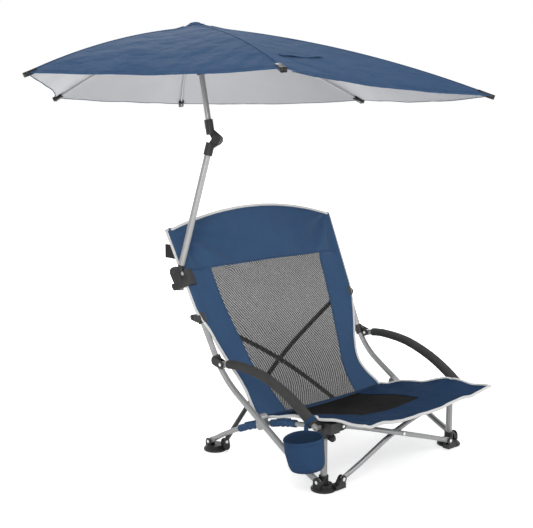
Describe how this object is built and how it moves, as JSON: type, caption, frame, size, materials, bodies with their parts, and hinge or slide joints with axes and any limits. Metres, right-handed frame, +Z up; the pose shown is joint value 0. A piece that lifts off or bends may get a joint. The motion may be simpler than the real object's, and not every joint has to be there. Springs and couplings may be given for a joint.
{
  "type": "folding chair with a clamp-on sunshade",
  "caption": "Low folding camping chair with crossed tube legs, sling seat and back, folding arms, a cup holder and a tilting ribbed sunshade clamped to one back post.",
  "frame": {"origin": "centre of the footprint of the object's bounding box, at floor level", "axes": "+Z up, the sitter faces -Y, and the side with the cup holder and the sunshade is at -X"},
  "size_m": [1.2114, 1.1942, 1.2413],
  "materials": {
    "black_plastic": "moulded, satin",
    "grey_tube": "powder coated, satin",
    "steel_rivet": "plated",
    "foam_grip": "closed-cell foam",
    "navy_cloth": "plain weave with pale edge binding",
    "grey_mesh": "open net",
    "black_mesh": "close net",
    "webbing": "woven tape",
    "pale_pole": "satin",
    "frame_wire": "plated",
    "coated_cloth": "plain weave, silver-grey coated underside"
  },
  "bodies": {
    "foot_front_right": {"foot_front_right": "black_plastic"},
    "front_cross_right": {"front_cross_right": "grey_tube", "front_cross_rivet": "steel_rivet"},
    "front_cross_left": {"front_cross_left": "grey_tube"},
    "foot_front_left": {"foot_front_left": "black_plastic"},
    "bracket_right": {"bracket_front_right": "black_plastic", "leg_front_right": "grey_tube"},
    "bracket_left": {"bracket_front_left": "black_plastic", "leg_front_left": "grey_tube"},
    "post_right": {"post_right": "grey_tube", "side_pivot_right": "grey_tube", "arm_clip_right": "black_plastic", "rear_clip_right": "black_plastic", "clamp_body": "black_plastic", "webbing_tab": "webbing", "back_panel": "navy_cloth", "back_mesh": "grey_mesh"},
    "post_left": {"post_left": "grey_tube", "side_pivot_left": "grey_tube", "arm_clip_left": "black_plastic", "rear_clip_left": "black_plastic"},
    "side_tube_right": {"side_tube_right": "grey_tube", "side_sleeve_right": "navy_cloth", "seat_panel": "navy_cloth", "seat_mesh": "black_mesh"},
    "side_tube_left": {"side_tube_left": "grey_tube", "side_sleeve_left": "navy_cloth"},
    "foot_rear_right": {"foot_rear_right": "black_plastic"},
    "foot_rear_left": {"foot_rear_left": "black_plastic"},
    "rear_cross_right": {"rear_cross_right": "grey_tube", "rear_cross_rivet": "steel_rivet"},
    "rear_cross_left": {"rear_cross_left": "grey_tube"},
    "arm_right": {"arm_tube_right": "grey_tube", "arm_grip_right": "foam_grip", "cup_holder": "navy_cloth"},
    "arm_left": {"arm_tube_left": "grey_tube", "arm_grip_left": "foam_grip"},
    "clamp_jaw": {"clamp_jaw": "black_plastic"},
    "clamp_screw": {"clamp_screw": "black_plastic"},
    "pole_lower": {"pole_base": "black_plastic", "lower_pole": "pale_pole", "elbow_lower": "black_plastic"},
    "pole_upper": {"elbow_upper": "black_plastic", "upper_pole": "pale_pole", "hub": "black_plastic", "canopy": "coated_cloth"},
    "elbow_knob": {"elbow_knob": "black_plastic"},
    "runner": {"runner": "black_plastic"},
    "rib_1": {"rib_1": "frame_wire"},
    "stretcher_1": {"stretcher_1": "frame_wire"},
    "rib_2": {"rib_2": "frame_wire"},
    "stretcher_2": {"stretcher_2": "frame_wire"},
    "rib_3": {"rib_3": "frame_wire"},
    "stretcher_3": {"stretcher_3": "frame_wire"},
    "rib_4": {"rib_4": "frame_wire"},
    "stretcher_4": {"stretcher_4": "frame_wire"},
    "rib_5": {"rib_5": "frame_wire"},
    "stretcher_5": {"stretcher_5": "frame_wire"},
    "rib_6": {"rib_6": "frame_wire"},
    "stretcher_6": {"stretcher_6": "frame_wire"}
  },
  "joints": [
    {"name": "fold", "type": "hinge", "parent": "foot_front_right", "child": "front_cross_right", "pos_m": [0.03177, -0.42005, 0.028], "axis": [0, -1, 0], "range_deg": [0, 48], "deforming": ["back_panel", "back_mesh", "seat_panel", "seat_mesh"]},
    {"name": "front_cross_pivot", "type": "hinge", "parent": "front_cross_right", "child": "front_cross_left", "pos_m": [0.26427, -0.42005, 0.105], "axis": [0, -1, 0], "range_deg": [-96.01, 0]},
    {"name": "foot_front_left_pivot", "type": "hinge", "parent": "front_cross_left", "child": "foot_front_left", "pos_m": [0.49677, -0.42005, 0.028], "axis": [0, -1, 0], "range_deg": [0, 48.01]},
    {"name": "bracket_right_pivot", "type": "hinge", "parent": "front_cross_left", "child": "bracket_right", "pos_m": [0.02777, -0.42005, 0.176], "axis": [0, -1, 0], "range_deg": [0, 48.01]},
    {"name": "bracket_left_pivot", "type": "hinge", "parent": "front_cross_right", "child": "bracket_left", "pos_m": [0.50077, -0.42005, 0.176], "axis": [0, -1, 0], "range_deg": [-48.01, 0]},
    {"name": "post_right_pivot", "type": "hinge", "parent": "foot_front_right", "child": "post_right", "pos_m": [-0.02723, -0.39005, 0.026], "axis": [1, 0, 0], "range_deg": [0, 48.01]},
    {"name": "side_tube_right_pivot", "type": "hinge", "parent": "post_right", "child": "side_tube_right", "pos_m": [0.00027, -0.16255, 0.128], "axis": [1, 0, 0], "range_deg": [-101.77, 0]},
    {"name": "foot_rear_right_pivot", "type": "hinge", "parent": "side_tube_right", "child": "foot_rear_right", "pos_m": [-0.01873, 0.06495, 0.026], "axis": [1, 0, 0], "range_deg": [0, 68.05]},
    {"name": "arm_right_pivot", "type": "hinge", "parent": "post_right", "child": "arm_right", "pos_m": [-0.04473, -0.02155, 0.28], "axis": [-1, 0, 0], "range_deg": [0, 60]},
    {"name": "post_left_pivot", "type": "hinge", "parent": "foot_front_left", "child": "post_left", "pos_m": [0.55577, -0.39005, 0.026], "axis": [1, 0, 0], "range_deg": [0, 48.01]},
    {"name": "side_tube_left_pivot", "type": "hinge", "parent": "post_left", "child": "side_tube_left", "pos_m": [0.52827, -0.16255, 0.128], "axis": [1, 0, 0], "range_deg": [-101.77, 0]},
    {"name": "foot_rear_left_pivot", "type": "hinge", "parent": "side_tube_left", "child": "foot_rear_left", "pos_m": [0.54727, 0.06495, 0.026], "axis": [1, 0, 0], "range_deg": [0, 68.05]},
    {"name": "arm_left_pivot", "type": "hinge", "parent": "post_left", "child": "arm_left", "pos_m": [0.57327, -0.02155, 0.28], "axis": [-1, 0, 0], "range_deg": [0, 60]},
    {"name": "rear_cross_right_pivot", "type": "hinge", "parent": "foot_rear_right", "child": "rear_cross_right", "pos_m": [0.00527, 0.02495, 0.028], "axis": [0, -0.9848, 0.1738], "range_deg": [0, 30.73]},
    {"name": "rear_cross_pivot", "type": "hinge", "parent": "rear_cross_right", "child": "rear_cross_left", "pos_m": [0.26427, 0.05918, 0.222], "axis": [0, -0.9848, 0.1738], "range_deg": [-61.45, 0]},
    {"name": "clamp_jaw_slide", "type": "slide", "parent": "post_right", "child": "clamp_jaw", "axis": [-0.4968, 0.7597, -0.4196], "range_m": [0, 0.006]},
    {"name": "clamp_screw_turn", "type": "hinge", "parent": "clamp_jaw", "child": "clamp_screw", "pos_m": [-0.05519, 0.11618, 0.50487], "axis": [-0.4968, 0.7597, -0.4196], "range_deg": [0, 1440.01]},
    {"name": "pole_tilt", "type": "hinge", "parent": "post_right", "child": "pole_lower", "pos_m": [-0.08435, 0.13857, 0.534], "axis": [0.8521, 0.5187, -0.0698], "range_deg": [-25, 12]},
    {"name": "elbow_tilt", "type": "hinge", "parent": "pole_lower", "child": "pole_upper", "pos_m": [0.00456, 0.04826, 0.9145], "axis": [0.8521, 0.5187, -0.0698], "range_deg": [-20, 30]},
    {"name": "elbow_knob_turn", "type": "hinge", "parent": "pole_lower", "child": "elbow_knob", "pos_m": [0.00456, 0.04826, 0.9145], "axis": [0.8521, 0.5187, -0.0698], "range_deg": [0, 360]},
    {"name": "runner_slide", "type": "slide", "parent": "pole_upper", "child": "runner", "axis": [0.0312, -0.1835, -0.9825], "range_m": [0, 0.066], "deforming": ["canopy"]},
    {"name": "rib_1_pivot", "type": "hinge", "parent": "pole_upper", "child": "rib_1", "pos_m": [-0.00625, 0.1079, 1.22595], "axis": [0.8521, 0.5187, -0.0698], "range_deg": [0, 24.59]},
    {"name": "stretcher_1_pivot", "type": "hinge", "parent": "rib_1", "child": "stretcher_1", "pos_m": [0.04539, 0.01979, 1.20154], "axis": [0.8521, 0.5187, -0.0698], "range_deg": [-44.84, 0]},
    {"name": "rib_2_pivot", "type": "hinge", "parent": "pole_upper", "child": "rib_2", "pos_m": [0.00181, 0.12097, 1.22376], "axis": [0.073, 0.9808, -0.1808], "range_deg": [0, 24.98]},
    {"name": "stretcher_2_pivot", "type": "hinge", "parent": "rib_2", "child": "stretcher_2", "pos_m": [0.10051, 0.10751, 1.19057], "axis": [0.073, 0.9808, -0.1808], "range_deg": [-43.85, 0]},
    {"name": "rib_3_pivot", "type": "hinge", "parent": "pole_upper", "child": "rib_3", "pos_m": [-0.00606, 0.13627, 1.22066], "axis": [-0.845, 0.5202, -0.124], "range_deg": [0, 26.77]},
    {"name": "stretcher_3_pivot", "type": "hinge", "parent": "rib_3", "child": "stretcher_3", "pos_m": [0.04932, 0.21732, 1.18337], "axis": [-0.845, 0.5202, -0.124], "range_deg": [-40.76, 0]},
    {"name": "rib_4_pivot", "type": "hinge", "parent": "pole_upper", "child": "rib_4", "pos_m": [-0.02401, 0.13629, 1.22008], "axis": [-0.8521, -0.5187, 0.0698], "range_deg": [0, 26.31]},
    {"name": "stretcher_4_pivot", "type": "hinge", "parent": "rib_4", "child": "stretcher_4", "pos_m": [-0.07618, 0.21605, 1.17601], "axis": [-0.8521, -0.5187, 0.0698], "range_deg": [-41.39, 0]},
    {"name": "rib_5_pivot", "type": "hinge", "parent": "pole_upper", "child": "rib_5", "pos_m": [-0.03205, 0.12045, 1.22278], "axis": [0.0926, -0.9783, 0.1856], "range_deg": [0, 26.77]},
    {"name": "stretcher_5_pivot", "type": "hinge", "parent": "rib_5", "child": "stretcher_5", "pos_m": [-0.13317, 0.10624, 1.19831], "axis": [0.0926, -0.9783, 0.1856], "range_deg": [-40.76, 0]},
    {"name": "rib_6_pivot", "type": "hinge", "parent": "pole_upper", "child": "rib_6", "pos_m": [-0.02171, 0.10665, 1.22569], "axis": [0.9215, -0.3754, 0.0994], "range_deg": [0, 24.98]},
    {"name": "stretcher_6_pivot", "type": "hinge", "parent": "rib_6", "child": "stretcher_6", "pos_m": [-0.05839, 0.01078, 1.20358], "axis": [0.9215, -0.3754, 0.0994], "range_deg": [-43.85, 0]}
  ],
  "couplings": [
    {"joint": "front_cross_pivot", "follows": "fold", "ratio": -2},
    {"joint": "foot_front_left_pivot", "follows": "fold", "ratio": 1},
    {"joint": "bracket_right_pivot", "follows": "fold", "ratio": 1},
    {"joint": "bracket_left_pivot", "follows": "fold", "ratio": -1},
    {"joint": "post_right_pivot", "follows": "fold", "ratio": 1},
    {"joint": "side_tube_right_pivot", "follows": "fold", "ratio": -2.12},
    {"joint": "foot_rear_right_pivot", "follows": "fold", "ratio": 1.4175},
    {"joint": "post_left_pivot", "follows": "fold", "ratio": 1},
    {"joint": "side_tube_left_pivot", "follows": "fold", "ratio": -2.12},
    {"joint": "foot_rear_left_pivot", "follows": "fold", "ratio": 1.4175},
    {"joint": "rear_cross_right_pivot", "follows": "fold", "ratio": 0.64},
    {"joint": "rear_cross_pivot", "follows": "fold", "ratio": -1.28},
    {"joint": "clamp_screw_turn", "follows": "clamp_jaw_slide", "rad_per_m": 4188.8},
    {"joint": "rib_1_pivot", "follows": "runner_slide", "rad_per_m": 6.4974},
    {"joint": "stretcher_1_pivot", "follows": "runner_slide", "rad_per_m": -11.847},
    {"joint": "rib_2_pivot", "follows": "runner_slide", "rad_per_m": 6.5988},
    {"joint": "stretcher_2_pivot", "follows": "runner_slide", "rad_per_m": -11.585},
    {"joint": "rib_3_pivot", "follows": "runner_slide", "rad_per_m": 7.0722},
    {"joint": "stretcher_3_pivot", "follows": "runner_slide", "rad_per_m": -10.77},
    {"joint": "rib_4_pivot", "follows": "runner_slide", "rad_per_m": 6.9499},
    {"joint": "stretcher_4_pivot", "follows": "runner_slide", "rad_per_m": -10.935},
    {"joint": "rib_5_pivot", "follows": "runner_slide", "rad_per_m": 7.0722},
    {"joint": "stretcher_5_pivot", "follows": "runner_slide", "rad_per_m": -10.77},
    {"joint": "rib_6_pivot", "follows": "runner_slide", "rad_per_m": 6.5988},
    {"joint": "stretcher_6_pivot", "follows": "runner_slide", "rad_per_m": -11.585}
  ]
}
